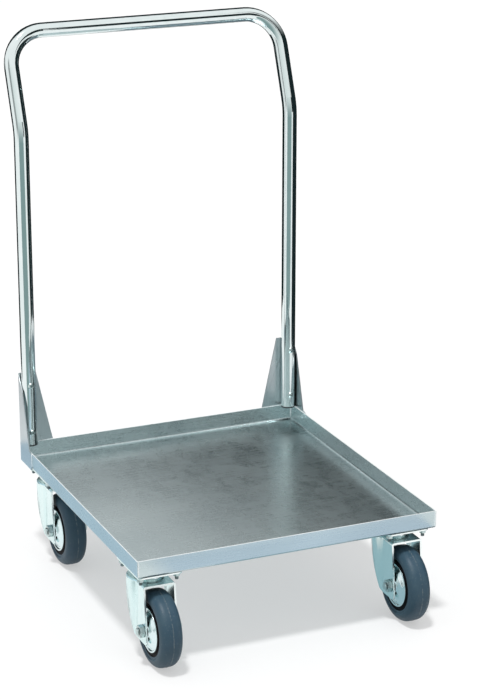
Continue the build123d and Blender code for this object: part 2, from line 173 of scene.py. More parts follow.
def weighed(tree, first, second, share):
    """Two values added, the first with the given share and the second with the rest."""
    first_part = joined(tree, "MULTIPLY", first, share)
    second_part = joined(tree, "MULTIPLY", second, 1.0 - share)
    return joined(tree, "ADD", first_part, second_part)


def add_bump(tree, shader, height, strength, distance):
    """Fine relief in the shading, from a height that runs from 0 to 1."""
    bump = add_node(tree, "ShaderNodeBump", Strength=strength, Distance=distance)
    tree.links.new(height, bump.inputs["Height"])
    tree.links.new(bump.outputs["Normal"], shader.inputs["Normal"])


# Materials
def brushed_steel(name, light, dark, smooth, rough, grain):
    """Sheet metal with fine grain, soft clouds, faint smears and a few long scratches."""
    material, tree, shader = new_material(name)
    shader.inputs["Metallic"].default_value = 1.0
    lines = noise(tree, grain, detail=4.0, roughness=0.65)
    clouds = noise(tree, (5.0, 5.0, 9.0), detail=2.0)
    smears = noise(tree, (34.0, 22.0, 40.0), detail=5.0, roughness=0.6, distortion=0.6)
    scratches = noise(tree, (420.0, 7.0, 420.0), detail=1.0, distortion=0.25)
    tone = spread(tree, weighed(tree, lines, clouds, share=0.35), 0.0, 1.0)
    scored = spread(tree, scratches, 0.0, 0.3, from_low=0.70, from_high=0.76)
    colour = blended(tree, scored, blended(tree, tone, dark, light), light)
    gloss = spread(tree, weighed(tree, lines, smears, share=0.5), smooth, rough)
    tree.links.new(colour, shader.inputs["Base Color"])
    tree.links.new(gloss, shader.inputs["Roughness"])
    add_bump(tree, shader, lines, strength=0.12, distance=0.05 * mm)
    return material


def polished_tube(name, colour, tint, smooth, rough):
    """Bright drawn tube: long polishing lines and a few dull handling marks."""
    material, tree, shader = new_material(name)
    shader.inputs["Metallic"].default_value = 1.0
    lines = noise(tree, (700.0, 700.0, 18.0), detail=3.0, roughness=0.6)
    marks = noise(tree, (26.0, 26.0, 15.0), detail=5.0, roughness=0.65, distortion=0.4)
    tone = blended(tree, spread(tree, marks, 0.0, 1.0), colour, tint)
    gloss = spread(tree, weighed(tree, lines, marks, share=0.4), smooth, rough)
    tree.links.new(tone, shader.inputs["Base Color"])
    tree.links.new(gloss, shader.inputs["Roughness"])
    add_bump(tree, shader, lines, strength=0.05, distance=0.03 * mm)
    return material


def zinc_plate(name, light, tint, smooth, rough):
    """Bright zinc plating: cloudy streaks down the pressing and a fine crystal mottle."""
    material, tree, shader = new_material(name)
    shader.inputs["Metallic"].default_value = 1.0
    streaks = noise(tree, (42.0, 42.0, 9.0), detail=3.0, roughness=0.5, distortion=0.6)
    mottle = noise(tree, (420.0, 420.0, 420.0), detail=2.0)
    tone = weighed(tree, streaks, mottle, share=0.8)
    tree.links.new(blended(tree, spread(tree, tone, 0.0, 1.0), tint, light), shader.inputs["Base Color"])
    tree.links.new(spread(tree, tone, rough, smooth), shader.inputs["Roughness"])
    add_bump(tree, shader, mottle, strength=0.06, distance=0.05 * mm)
    return material


def pressed_zinc(name, light, tint, smooth, rough, front_back_highlight, underside_shade):
    """Zinc plating on pressed sheet, with a painted highlight on faces turned to the front and back and painted
    shade on the undersides.
    """
    material = zinc_plate(name, light, tint, smooth, rough)
    tree, shader = shader_of(material)
    # Painted highlight: faces turned along Y, such as the cut edges at the front and back, go near white.
    facing_front_back = unsigned(tree, component(tree, "Normal", "Y"))
    highlight_share = spread(tree, facing_front_back, 0.0, 1.0, from_low=0.75, from_high=0.95)
    # Painted shade: faces turned down take the underside shade colour.
    underside_share = spread(tree, component(tree, "Normal", "Z"), 1.0, 0.0, from_low=-0.95, from_high=-0.60)
    highlighted_colour = blended(tree, highlight_share, fed(shader, "Base Color"), front_back_highlight)
    tree.links.new(blended(tree, underside_share, highlighted_colour, underside_shade), shader.inputs["Base Color"])
    return material


def turned_steel(name, colour, dark, smooth, rough):
    """Machined bright steel with fine turning lines and darker stains."""
    material, tree, shader = new_material(name)
    shader.inputs["Metallic"].default_value = 1.0
    lines = noise(tree, (160.0, 160.0, 1800.0), detail=3.0, roughness=0.6)
    stains = noise(tree, (120.0, 120.0, 120.0), detail=5.0, roughness=0.65)
    tree.links.new(blended(tree, spread(tree, stains, 0.0, 1.0), dark, colour), shader.inputs["Base Color"])
    tree.links.new(spread(tree, lines, smooth, rough), shader.inputs["Roughness"])
    add_bump(tree, shader, lines, strength=0.10, distance=0.04 * mm)
    return material


def moulded_plastic(name, colour, worn, smooth, rough, sheen=0.35):
    """Black moulding with a fine grain and paler rubbed patches."""
    material, tree, shader = new_material(name)
    grain = noise(tree, (1500.0, 1500.0, 1500.0), detail=2.0)
    rubbed = noise(tree, (70.0, 70.0, 70.0), detail=5.0, roughness=0.65)
    wear = spread(tree, rubbed, 0.0, 1.0, from_low=0.45, from_high=0.8)
    tree.links.new(blended(tree, wear, colour, worn), shader.inputs["Base Color"])
    tree.links.new(spread(tree, rubbed, smooth, rough), shader.inputs["Roughness"])
    shader.inputs["Specular IOR Level"].default_value = sheen
    add_bump(tree, shader, grain, strength=0.15, distance=0.05 * mm)
    return material


def grey_rubber(name, colour, pale, dusty, smooth, rough, sheen, ridge_place, ridge_reach):
    """Slate-grey rubber: soft mottle, fine pores and pale specks, closer along the ridge of the mould."""
    material, tree, shader = new_material(name)
    mottle = noise(tree, (40.0, 40.0, 40.0), detail=5.0, roughness=0.6)
    pores = noise(tree, (1300.0, 1300.0, 1300.0), detail=2.0)
    specks = noise(tree, (330.0, 330.0, 330.0), detail=1.0)
    body = blended(tree, spread(tree, mottle, 0.0, 1.0), colour, pale)
    sideways = unsigned(tree, component(tree, "Object", "X"))
    aside = unsigned(tree, joined(tree, "SUBTRACT", sideways, ridge_place))
    on_ridge = spread(tree, aside, 1.0, 0.0, from_low=ridge_reach / 2, from_high=ridge_reach)
    close_specks = spread(tree, specks, 0.0, 0.9, from_low=0.42, from_high=0.62)
    loose_specks = spread(tree, specks, 0.0, 0.5, from_low=0.66, from_high=0.78)
    dust = joined(tree, "MAXIMUM", joined(tree, "MULTIPLY", on_ridge, close_specks), loose_specks)
    tree.links.new(blended(tree, dust, body, dusty), shader.inputs["Base Color"])
    tree.links.new(spread(tree, mottle, smooth, rough), shader.inputs["Roughness"])
    shader.inputs["Specular IOR Level"].default_value = sheen
    add_bump(tree, shader, pores, strength=0.18, distance=0.05 * mm)
    return material


def sheared_top_and_highlight(material, above, blend, colour, roughness, metal):
    """A rougher finish on a sheet's cut edge, above a height in the node's own coordinates, in a paler colour that
    is a painted highlight.
    """
    tree, shader = shader_of(material)
    edge = spread(tree, component(tree, "Object", "Z"), 0.0, 1.0, from_low=above - blend, from_high=above)
    edge_roughness = joined(tree, "MULTIPLY", edge, roughness)
    lifted = joined(tree, "MAXIMUM", fed(shader, "Roughness"), edge_roughness)
    tree.links.new(blended(tree, edge, fed(shader, "Base Color"), colour), shader.inputs["Base Color"])
    tree.links.new(lifted, shader.inputs["Roughness"])
    tree.links.new(spread(tree, edge, 1.0, metal, from_low=0.0, from_high=1.0), shader.inputs["Metallic"])


def painted_crevice_shade(material, reach, colour):
    """Painted shade: a darker colour in the crevices, where another surface is nearer than reach."""
    tree, shader = shader_of(material)
    crevice = add_node(tree, "ShaderNodeAmbientOcclusion", Distance=reach)
    share = spread(tree, crevice.outputs["AO"], 1.0, 0.0, from_low=0.35, from_high=0.75)
    tree.links.new(blended(tree, share, fed(shader, "Base Color"), colour), shader.inputs["Base Color"])


grain_across = (6.0, 900.0, 900.0)
grain_upright = (900.0, 900.0, 6.0)
wheel_track = joint_place["front_right_wheel_roll"].x - joint_place["front_left_wheel_roll"].x
caster_look = {
    "light": (0.79, 0.93, 0.92),
    "tint": (0.68, 0.86, 0.86),
    "smooth": 0.18,
    "rough": 0.30,
    # Painted highlight colour for faces turned to the front and back.
    "front_back_highlight": (0.92, 0.98, 0.97),
}
materials = {
    "tray_stainless": brushed_steel(
        "tray_stainless",
        light=(0.645, 0.737, 0.745),
        dark=(0.505, 0.594, 0.612),
        smooth=0.22,
        rough=0.34,
        grain=grain_across,
    ),
    "bracket_stainless": brushed_steel(
        "bracket_stainless",
        light=(0.60, 0.66, 0.68),
        dark=(0.48, 0.54, 0.56),
        smooth=0.24,
        rough=0.36,
        grain=grain_upright,
    ),
    "handle_stainless": polished_tube(
        "handle_stainless",
        colour=(0.80, 0.87, 0.87),
        tint=(0.72, 0.80, 0.80),
        smooth=0.04,
        rough=0.10,
    ),
    "plug_plastic": moulded_plastic(
        "plug_plastic",
        colour=(0.02, 0.02, 0.022),
        worn=(0.05, 0.05, 0.055),
        smooth=0.38,
        rough=0.55,
    ),
    "fastener_steel": turned_steel(
        "fastener_steel",
        colour=(0.62, 0.72, 0.71),
        dark=(0.42, 0.52, 0.52),
        smooth=0.24,
        rough=0.38,
    ),
    # Painted shade: the forks' undersides are near black.
    "caster_zinc": pressed_zinc("caster_zinc", **caster_look, underside_shade=(0.10, 0.13, 0.13)),
    "pad_rubber": moulded_plastic(
        "pad_rubber",
        colour=(0.012, 0.012, 0.013),
        worn=(0.03, 0.03, 0.032),
        smooth=0.55,
        rough=0.75,
    ),
    "race_chrome": turned_steel(
        "race_chrome",
        colour=(0.78, 0.82, 0.83),
        dark=(0.66, 0.71, 0.72),
        smooth=0.07,
        rough=0.16,
    ),
    "wheel_zinc": zinc_plate(
        "wheel_zinc",
        light=(0.82, 0.92, 0.93),
        tint=(0.70, 0.85, 0.87),
        smooth=0.14,
        rough=0.24,
    ),
    "tyre_base_black": moulded_plastic(
        "tyre_base_black",
        colour=(0.003, 0.003, 0.004),
        worn=(0.007, 0.007, 0.009),
        smooth=0.50,
        rough=0.66,
        sheen=0.06,
    ),
    "tyre_grey": grey_rubber(
        "tyre_grey",
        colour=(0.029, 0.070, 0.108),
        pale=(0.043, 0.088, 0.120),
        dusty=(0.13, 0.17, 0.19),
        smooth=0.42,
        rough=0.56,
        sheen=0.35,
        ridge_place=wheel_track / 2,
        ridge_reach=1.2 * mm,
    ),
    "bearing_plastic": moulded_plastic(
        "bearing_plastic",
        colour=(0.05, 0.05, 0.055),
        worn=(0.11, 0.11, 0.12),
        smooth=0.40,
        rough=0.60,
    ),
}
# The caster plates' painted underside shade is mild, a little darker than the plain zinc.
plate_zinc = pressed_zinc("plate_zinc", **caster_look, underside_shade=(0.66, 0.78, 0.78))
seam_steel = turned_steel(
    "seam_steel",
    colour=(0.86, 0.90, 0.90),
    dark=(0.74, 0.78, 0.79),
    smooth=0.14,
    rough=0.30,
)
thread_steel = turned_steel(
    "thread_steel",
    colour=(0.42, 0.46, 0.46),
    dark=(0.26, 0.29, 0.29),
    smooth=0.26,
    rough=0.42,
)
# Painted highlight: the tray's rim top in a near-white, rougher finish.
sheared_top_and_highlight(
    materials["tray_stainless"],
    above=tray_high.z - 0.5 * mm,
    blend=0.2 * mm,
    colour=(0.92, 0.96, 0.96),
    roughness=0.5,
    metal=0.4,
)
# Painted shade in the crevices of the caster zinc, fasteners, wheel centres and handle tube.
for shaded_material_name in ("caster_zinc", "fastener_steel", "wheel_zinc", "handle_stainless"):
    painted_crevice_shade(materials[shaded_material_name], reach=3.0 * mm, colour=(0.03, 0.04, 0.04))


def finish_nodes():
    """Every node in its slot's material, but the caster plates in a zinc whose painted underside shade is milder
    than the forks', a little darker than the plain zinc.
    """
    for name, node in nodes.items():
        finish = plate_zinc if name.endswith("_caster_plate") else materials[slot_of[name]]
        for slot in node.material_slots:
            slot.material = finish


# Edges of sheet, mouldings, nuts and washers, broken by a narrow round
edge_round = {
    "base_tray": 0.35 * mm,
    "handle_bracket": 0.35 * mm,
    "handle_end_plugs": 0.5 * mm,
    "caster_plate": 0.5 * mm,
    "caster_pads": 0.4 * mm,
    "fork": 0.5 * mm,
    "caster_nuts": 0.25 * mm,
    "caster_washers": 0.2 * mm,
    "handle_nuts": 0.25 * mm,
    "axle_nut": 0.3 * mm,
}
edge_join = 0.002 * mm
edge_segments = 2


def round_edges():
    """A narrow round on the sharp edges of the nodes that edge_round names."""
    for name, node in nodes.items():
        for words, width in edge_round.items():
            if words in name:
                weld = node.modifiers.new("join", "WELD")
                weld.merge_threshold = edge_join
                bevel = node.modifiers.new("edges", "BEVEL")
                bevel.width = width
                bevel.segments = edge_segments
                bevel.limit_method = "ANGLE"
                bevel.angle_limit = sharp_angle
                bevel.use_clamp_overlap = True
                bevel.harden_normals = True


# Mesh helpers
vertex_join = 0.0005 * mm
straight_angle = 1e-4


def mesh_piece(name, verts, faces, material, body, slot):
    """A new piece that rides on a body, shaded smooth up to the sharp angle."""
    mesh = bpy.data.meshes.new(name)
    mesh.from_pydata([tuple(v) for v in verts], [], faces)
    cleaner = bmesh.new()
    cleaner.from_mesh(mesh)
    bmesh.ops.remove_doubles(cleaner, verts=cleaner.verts, dist=vertex_join)
    bmesh.ops.recalc_face_normals(cleaner, faces=cleaner.faces)
    cleaner.to_mesh(mesh)
    cleaner.free()
    mesh.shade_smooth()
    mesh.set_sharp_from_angle(angle=sharp_angle)
    mesh.materials.append(material)
    piece = bpy.data.objects.new(name, mesh)
    bpy.context.scene.collection.objects.link(piece)
    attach(piece, body)
    return piece


def rounded(outline, steps=6):
    """An outline of (along, radius, round) corners with each corner rounded; its two ends have no round."""
    line = [Vector(outline[0])]
    for before, corner, after in zip(outline, outline[1:], outline[2:]):
        point, turn_radius = Vector(corner[:2]), corner[2]
        back = (Vector(before[:2]) - point).normalized()
        ahead = (Vector(after[:2]) - point).normalized()
        half = back.angle(ahead) / 2
        if abs(math.pi / 2 - half) < straight_angle:
            line.append(point)
            continue
        reach = turn_radius / math.tan(half)
        middle = point + (back + ahead).normalized() * (turn_radius / math.sin(half))
        first = point + back * reach - middle
        last = point + ahead * reach - middle
        turn = first.angle(last)
        for i in range(steps + 1):
            share = i / steps
            first_weight = math.sin((1 - share) * turn) / math.sin(turn)
            last_weight = math.sin(share * turn) / math.sin(turn)
            line.append(middle + first * first_weight + last * last_weight)
    line.append(Vector(outline[-1]))
    return line


def spokes(axis, segments):
    """Unit vectors square to the axis, once round, with their angles."""
    axis = Vector(axis).normalized()
    side = axis.orthogonal().normalized()
    up = axis.cross(side)
    angles = [2 * math.pi * i / segments for i in range(segments)]
    return [(angle, side * math.cos(angle) + up * math.sin(angle)) for angle in angles]


def loops_to_faces(loops, segments, closed):
    """Faces between neighbouring loops of vertices, each loop listed as segments points."""
    faces = []
    for row in range(loops if closed else loops - 1):
        this, following = row * segments, (row + 1) % loops * segments
        for i in range(segments):
            after = (i + 1) % segments
            faces.append((this + i, this + after, following + after, following + i))
    return faces


def capped(loops, segments):
    """Faces of a bar of loops, closed at both ends."""
    first_end = tuple(reversed(range(segments)))
    last_end = tuple(range((loops - 1) * segments, loops * segments))
    return loops_to_faces(loops, segments, closed=False) + [first_end, last_end]


def revolve(rings, centre, axis, segments=128, closed=False):
    """Vertices and faces of rings about an axis; a ring is (along, radius) or a function of the angle."""
    axis = Vector(axis).normalized()
    turn = spokes(axis, segments)
    verts = []
    for ring in rings:
        for angle, spoke in turn:
            along, radius = ring(angle) if callable(ring) else ring
            verts.append(centre + axis * along + spoke * radius)
    return verts, loops_to_faces(len(rings), segments, closed)


def hexed(along, flat_radius, slope=0.0):
    """A hexagonal ring; slope lowers its corners along the axis, as a chamfer does."""

    def ring(angle):
        sixth = math.pi / 3
        radius = flat_radius / math.cos((angle + sixth / 2) % sixth - sixth / 2)
        return along + slope * (radius - flat_radius), radius

    return ring


def mirrored(half):
    """A full section from its right half, listed from the bore outwards round to the middle."""
    return half + [Vector((-point.x, point.y)) for point in reversed(half)]


def merged(parts):
    """Several (vertices, faces) lists as one."""
    verts, faces = [], []
    for part_verts, part_faces in parts:
        start = len(verts)
        verts += part_verts
        faces += [tuple(start + i for i in face) for face in part_faces]
    return verts, faces


# Wheels
wheel_segments = 128
tyre_segments = 180
mould_ridge_height = 0.25 * mm
mould_ridge_width = 0.9 * mm
tyre_shoulder = 14.0 * mm
tyre_side_round = 1.0 * mm
bead_step = 0.5 * mm
bead_height = 3.0 * mm
ring_taper = 1.0 * mm
ring_groove = 0.6 * mm
hub_radius = 13.5 * mm
hub_bore = 10.2 * mm
disc_sheet = 2.0 * mm
disc_crown = 22.5 * mm
disc_bulge = (19.8 * mm, 24.0 * mm)
disc_foot = (15.5 * mm, 32.0 * mm)
rim_half = 18.5 * mm
rim_lip = 2.2 * mm


def half_sizes(node):
    """Half the extent of a wheel node along its axle, and its radius."""
    low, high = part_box(node)
    return (high.x - low.x) / 2, (high.z - low.z) / 2


def wheel_piece(corner, word, half, slot, segments=wheel_segments):
    """A piece turned about a wheel's axle, from the right half of its section."""
    solid = revolve(mirrored(half), joint_place[f"{corner}_wheel_roll"], (1, 0, 0), segments, closed=True)
    return mesh_piece(f"{corner}_{word}", *solid, materials[slot], f"{corner}_wheel", slot)


def make_tyre(corner):
    """Grey tread: round shoulders, mould ridge round the middle and a bead beside the black ring."""
    half, outer = half_sizes(f"{corner}_tyre")
    ring_half, seat = half_sizes(f"{corner}_tyre_base")
    foot = ring_half - ring_taper
    tread = outer - mould_ridge_height
    outline = [
        (0.0, seat),
        (foot, seat, 0.2 * mm),
        (foot + bead_step, seat + bead_height / 3, 0.3 * mm),
        (foot + bead_step, seat + bead_height, 0.3 * mm),
        (foot + 0.2 * bead_step, seat + bead_height + bead_step, 0.3 * mm),
        (half, outer - tyre_shoulder, tyre_side_round),
        (half, tread - mould_ridge_height, tyre_shoulder - tyre_side_round),
        (mould_ridge_width, tread, 0.25 * mm),
        (mould_ridge_width / 2, outer, 0.15 * mm),
        (0.0, outer),
    ]
    piece = wheel_piece(corner, "tread", rounded(outline, steps=10), "tyre_grey", tyre_segments)
    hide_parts(f"{corner}_tyre")


def make_base_ring(corner):
    """Black ring between wheel centre and tread, tapering to the tread, with a groove round its side."""
    half, outer = half_sizes(f"{corner}_tyre_base")
    inner = half_sizes(f"{corner}_wheel_rim")[1]
    foot = half - ring_taper
    step = (outer - inner) / 3
    outline = [
        (0.0, inner),
        (half, inner, 0.2 * mm),
        (half - 0.4 * ring_taper, inner + step, 0.4 * mm),
        (foot - ring_groove, inner + 1.4 * step, 0.3 * mm),
        (foot - ring_groove, inner + 2.0 * step, 0.3 * mm),
        (foot, inner + 2.4 * step, 0.4 * mm),
        (foot, outer, 0.2 * mm),
        (0.0, outer),
    ]
    piece = wheel_piece(corner, "base_ring", rounded(outline, steps=5), "tyre_base_black")
    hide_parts(f"{corner}_tyre_base")


def make_wheel_centre(corner):
    """Pressed wheel centre: hub tube and two bulging discs, each with a lip beside the black ring."""
    hub_half, outer = half_sizes(f"{corner}_wheel_rim")
    outside = [
        (disc_crown, hub_radius, 1.2 * mm),
        (*disc_bulge, 16.0 * mm),
        (*disc_foot, 2.5 * mm),
        (rim_half, outer - rim_lip, 0.9 * mm),
        (rim_half, outer, 0.4 * mm),
    ]
    inside = [(along - disc_sheet, radius, turn) for along, radius, turn in reversed(outside)]
    outline = [
        (0.0, hub_bore),
        (hub_half, hub_bore, 0.3 * mm),
        (hub_half, hub_radius, 0.8 * mm),
        *outside,
        *inside,
        (0.0, hub_radius),
    ]
    piece = wheel_piece(corner, "wheel_centre", rounded(outline), "wheel_zinc")
    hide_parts(f"{corner}_wheel_rim")


# Swivel heads
cup_bore = 6.0 * mm
cup_neck = 16.5 * mm
cup_neck_height = 2.8 * mm
cup_shoulder = 22.0 * mm
cup_lip = 0.8 * mm
cup_web = 5.0 * mm
cup_wall = 1.2 * mm


def make_race_cup(corner):
    """Bright drum-shaped cup under the plate, with a skirt over the lower race."""
    low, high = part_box(f"{corner}_race_cup")
    place = joint_place[f"{corner}_swivel_turn"]
    rim, skirt = (high.x - low.x) / 2, high.z - low.z
    outline = [
        (0.0, cup_bore),
        (0.0, cup_neck, 0.3 * mm),
        (cup_neck_height, cup_neck, 0.5 * mm),
        (cup_neck_height + cup_lip, cup_shoulder, 0.6 * mm),
        (cup_web, rim, 0.8 * mm),
        (skirt - cup_lip, rim, 0.5 * mm),
        (skirt, rim - cup_lip, 0.4 * mm),
        (skirt, rim - 1.5 * cup_wall, 0.3 * mm),
        (cup_web, rim - 2.0 * cup_wall, 0.3 * mm),
        (cup_web, cup_bore),
    ]
    top = Vector((place.x, place.y, high.z))
    solid = revolve(rounded(outline), top, (0, 0, -1), closed=True)
    piece = mesh_piece(f"{corner}_bright_cup", *solid, materials["race_chrome"], "root", "race_chrome")
    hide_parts(f"{corner}_race_cup")


# Fasteners with real threads
thread_depth = 0.6
thread_chamfer = 0.8
rows_per_pitch = 8
small_radius = 3.0 * mm
small_pitch = 1.0 * mm
small_thread_segments = 28


def threaded_rod(start, axis, length, radius, pitch, segments):
    """A threaded rod from start along axis, its end chamfered and closed."""
    depth = thread_depth * pitch
    chamfer = thread_chamfer * depth
    rows = int(length / pitch * rows_per_pitch) + 1

    def thread_ring(along):
        def ring(angle):
            wave = abs(((along / pitch - angle / (2 * math.pi)) % 1.0) * 2 - 1)
            limit = radius - max(0.0, along - (length - chamfer))
            return along, min(radius - depth * wave, limit)

        return ring

    rings = [(0.0, 0.0)] + [thread_ring(length * row / rows) for row in range(rows + 1)] + [(length, 0.0)]
    return revolve(rings, start, axis, segments)


def small_thread(start, axis, length):
    """The thread of the studs and of the handle's bolts."""
    return threaded_rod(start, axis, length, small_radius, small_pitch, small_thread_segments)


stud_pitch = (60.0 * mm, 80.0 * mm)
stud_weld_radius = 4.2 * mm
stud_weld_height = 0.9 * mm
stud_weld_segments = 36


def make_caster_studs():
    """Sixteen threaded studs, each with its weld collar under the tray floor."""
    low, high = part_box("caster_studs")
    collar = [
        (0.0, 0.0),
        (0.0, stud_weld_radius),
        (stud_weld_height / 2, stud_weld_radius),
        (stud_weld_height, small_radius),
    ]
    parts = []
    for corner in corners:
        place = joint_place[f"{corner}_swivel_turn"]
        for i in (-1, 1):
            for j in (-1, 1):
                top = Vector((place.x + i * stud_pitch[0] / 2, place.y + j * stud_pitch[1] / 2, high.z))
                parts.append(revolve(collar, top, (0, 0, -1), stud_weld_segments))
                parts.append(small_thread(top, (0, 0, -1), high.z - low.z))
    piece = mesh_piece("caster_threaded_studs", *merged(parts), thread_steel, "root", "fastener_steel")
    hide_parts("caster_studs")


button_radius = 5.25 * mm
button_height = 3.3 * mm
button_socket = 2.0 * mm
button_socket_rim = 2.7 * mm
button_socket_depth = 1.9 * mm
button_thread = 12.0 * mm
button_segments = 48
button_steps = 8


def make_handle_bolts():
    """Four domed bolts with hexagon sockets, threaded where the nuts sit."""
    low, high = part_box("handle_bolts")
    shank_end = high.y - low.y - button_thread
    dome = (button_radius**2 + button_height**2) / (2 * button_height)

    def dome_height(radius):
        """Depth of the dome below its crown."""
        return dome - math.sqrt(dome**2 - radius**2)

    rings = [
        (button_socket_depth, 0.0),
        hexed(button_socket_depth, button_socket),
        hexed(dome_height(button_socket_rim), button_socket),
    ]
    for i in range(button_steps + 1):
        radius = button_socket_rim + (button_radius - button_socket_rim) * i / button_steps
        rings.append((dome_height(radius), radius))
    rings += [(button_height, small_radius), (shank_end, small_radius), (shank_end, 0.0)]
    parts = []
    for x in (low.x + button_radius, high.x - button_radius):
        for z in (low.z + button_radius, high.z - button_radius):
            parts.append(revolve(rings, Vector((x, low.y, z)), (0, 1, 0), button_segments))
            parts.append(small_thread(Vector((x, high.y - button_thread, z)), (0, 1, 0), button_thread))
    solid = merged(parts)
    piece = mesh_piece("handle_button_bolts", *solid, materials["fastener_steel"], "root", "fastener_steel")
    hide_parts("handle_bolts")


axle_flat = 9.0 * mm
axle_radius = 6.0 * mm
axle_pitch = 1.75 * mm
axle_head = 7.5 * mm
axle_thread = 14.0 * mm
axle_chamfer = math.tan(math.radians(30))
axle_dish = 0.25 * mm
axle_dish_radius = 0.8 * axle_flat
axle_land = (0.84 * axle_flat, 0.97 * axle_flat)
axle_segments = 72
axle_thread_segments = 40


def make_axle_bolt(corner):
    """Hexagon-head axle bolt with a dished face and a threaded end in the nut."""
    low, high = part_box(f"{corner}_axle_bolt")
    centre = joint_place[f"{corner}_wheel_roll"]
    shank_end = high.x - low.x - axle_thread
    rings = [
        (axle_dish, 0.0),
        (axle_dish, axle_dish_radius),
        (0.0, axle_land[0]),
        (0.0, axle_land[1]),
        hexed(0.0, axle_flat, axle_chamfer),
        hexed(axle_head, axle_flat),
        (axle_head, axle_radius),
        (shank_end, axle_radius),
        (shank_end, 0.0),
    ]
    outer_face = Vector((high.x, centre.y, centre.z))
    thread_start = Vector((low.x + axle_thread, centre.y, centre.z))
    parts = [
        revolve(rings, outer_face, (-1, 0, 0), axle_segments),
        threaded_rod(thread_start, (-1, 0, 0), axle_thread, axle_radius, axle_pitch, axle_thread_segments),
    ]
    name, steel = f"{corner}_hexagon_bolt", materials["fastener_steel"]
    piece = mesh_piece(name, *merged(parts), steel, f"{corner}_swivel", "fastener_steel")
    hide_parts(f"{corner}_axle_bolt")


# Welds and seams
tray_sheet = 1.5 * mm
fold_clear = 4.0 * mm
cheek_length = 58.0 * mm
strip_width = 58.0 * mm
weld_size = 1.7 * mm
weld_clear = 0.5 * mm
weld_start = 0.35
weld_steps = 6
ripple = 1.3 * mm
ripple_rows = 6
ripple_depth = 0.12
ripple_bow = 0.3


def weld_bead(start, end, first, second):
    """A rippled fillet from start to end, in the corner between the directions first and second."""
    run = end - start
    length = run.length
    rows = int(length / ripple * ripple_rows)
    verts = []
    for row in range(rows + 1):
        along = length * row / rows
        taper = min(1.0, weld_start + along / weld_size, weld_start + (length - along) / weld_size)
        root = start + run * (row / rows)
        verts.append(root)
        for k in range(weld_steps + 1):
            turn = math.pi / 2 * k / weld_steps
            phase = along / ripple + ripple_bow * math.sin(2 * turn)
            wave = 1 - ripple_depth + ripple_depth * abs(math.sin(math.pi * phase))
            outward = first * math.cos(turn) + second * math.sin(turn)
            verts.append(root + outward * (weld_size * taper * wave))
    return verts, capped(rows + 1, weld_steps + 2)


def make_welds():
    """Bracket edges welded to the tray's rims, and the tray's four inside corners."""
    across, along = Vector((1, 0, 0)), Vector((0, 1, 0))
    bottom = tray_low.z + fold_clear + tray_sheet
    rise = Vector((0, 0, tray_high.z - weld_clear - bottom))
    for side, word in ((-1, "left"), (1, "right")):
        out = across * side
        cheek_foot = Vector((tray_high.x * side, tray_high.y - cheek_length, bottom))
        strip_foot = Vector(((tray_high.x - strip_width) * side, tray_high.y, bottom))
        parts = [
            weld_bead(cheek_foot, cheek_foot + rise, out, -along),
            weld_bead(strip_foot, strip_foot + rise, along, -out),
        ]
        mesh_piece(f"bracket_welds_{word}", *merged(parts), seam_steel, "root", "bracket_stainless")
    inner_x = tray_high.x - tray_sheet
    parts = []
    for side in (-1, 1):
        for y, inward in ((tray_low.y + tray_sheet, along), (tray_high.y - tray_sheet, -along)):
            foot = Vector((inner_x * side, y, bottom))
            parts.append(weld_bead(foot, foot + rise, across * -side, inward))
    mesh_piece("tray_corner_welds", *merged(parts), seam_steel, "root", "tray_stainless")


seam_width = 1.7 * mm
seam_inset = 1.1 * mm
seam_proud = 0.12 * mm
seam_clear = 0.3 * mm
seam_rows = 20
seam_waves = ((0.12, 2.1), (0.08, 5.3))
seam_section = ((0.0, 0.0), (0.2, 1.0), (0.8, 1.0), (1.0, 0.0), (0.5, -1.0))


def seam_strip(foot, height, along, outward):
    """An upright strip of wavering width, its section given in shares of the width and of its height."""
    verts = []
    for row in range(seam_rows + 1):
        width = seam_width * (1 + sum(depth * math.sin(rate * row) for depth, rate in seam_waves))
        base = foot + Vector((0, 0, height * row / seam_rows)) + along * seam_inset
        for share, proud in seam_section:
            verts.append(base + along * share * width + outward * proud * seam_proud)
    return verts, capped(seam_rows + 1, len(seam_section))


def make_ground_seams():
    """Corner seams of the tray's front: a polished strip on each side of the rounded corner."""
    bottom = tray_low.z + fold_clear
    height = tray_high.z - seam_clear - bottom
    parts = []
    for side in (-1, 1):
        foot = Vector((tray_high.x * side, tray_low.y, bottom))
        front, flank = Vector((-side, 0, 0)), Vector((0, 1, 0))
        parts.append(seam_strip(foot, height, front, -flank))
        parts.append(seam_strip(foot, height, flank, -front))
    mesh_piece("tray_ground_seams", *merged(parts), seam_steel, "root", "tray_stainless")


make_camera()
finish_nodes()
round_edges()
for corner in corners:
    make_tyre(corner)
    make_base_ring(corner)
    make_wheel_centre(corner)
    make_race_cup(corner)
    make_axle_bolt(corner)
make_caster_studs()
make_handle_bolts()
make_welds()
make_ground_seams()


# Stage: pale floor, soft key light and white surroundings
white = (1.0, 1.0, 1.0)
black = (0.0, 0.0, 0.0)
floor_half = 20.0
floor_albedo = (0.483, 0.483, 0.483)
floor_roughness = 0.9
floor_glow = 0.462
ambient = 0.60
key_strength = 2.0
key_angle = 0.12
key_direction = Vector((-0.213, -0.203, 0.956))


def camera_like(tree):
    """1 for camera, glossy and transmission rays, else 0."""
    path = tree.nodes.new("ShaderNodeLightPath")
    both = joined(tree, "MAXIMUM", path.outputs["Is Camera Ray"], path.outputs["Is Glossy Ray"])
    return joined(tree, "MAXIMUM", both, path.outputs["Is Transmission Ray"])


def make_world():
    """White surroundings, dimmer as a light than they look."""
    world = bpy.data.worlds.new("surroundings")
    world.use_nodes = True
    tree = world.node_tree
    sky = tree.nodes["Background"]
    strength = spread(tree, camera_like(tree), ambient, 1.0, from_low=0.0, from_high=1.0)
    sky.inputs["Color"].default_value = (*white, 1.0)
    tree.links.new(strength, sky.inputs["Strength"])
    bpy.context.scene.world = world


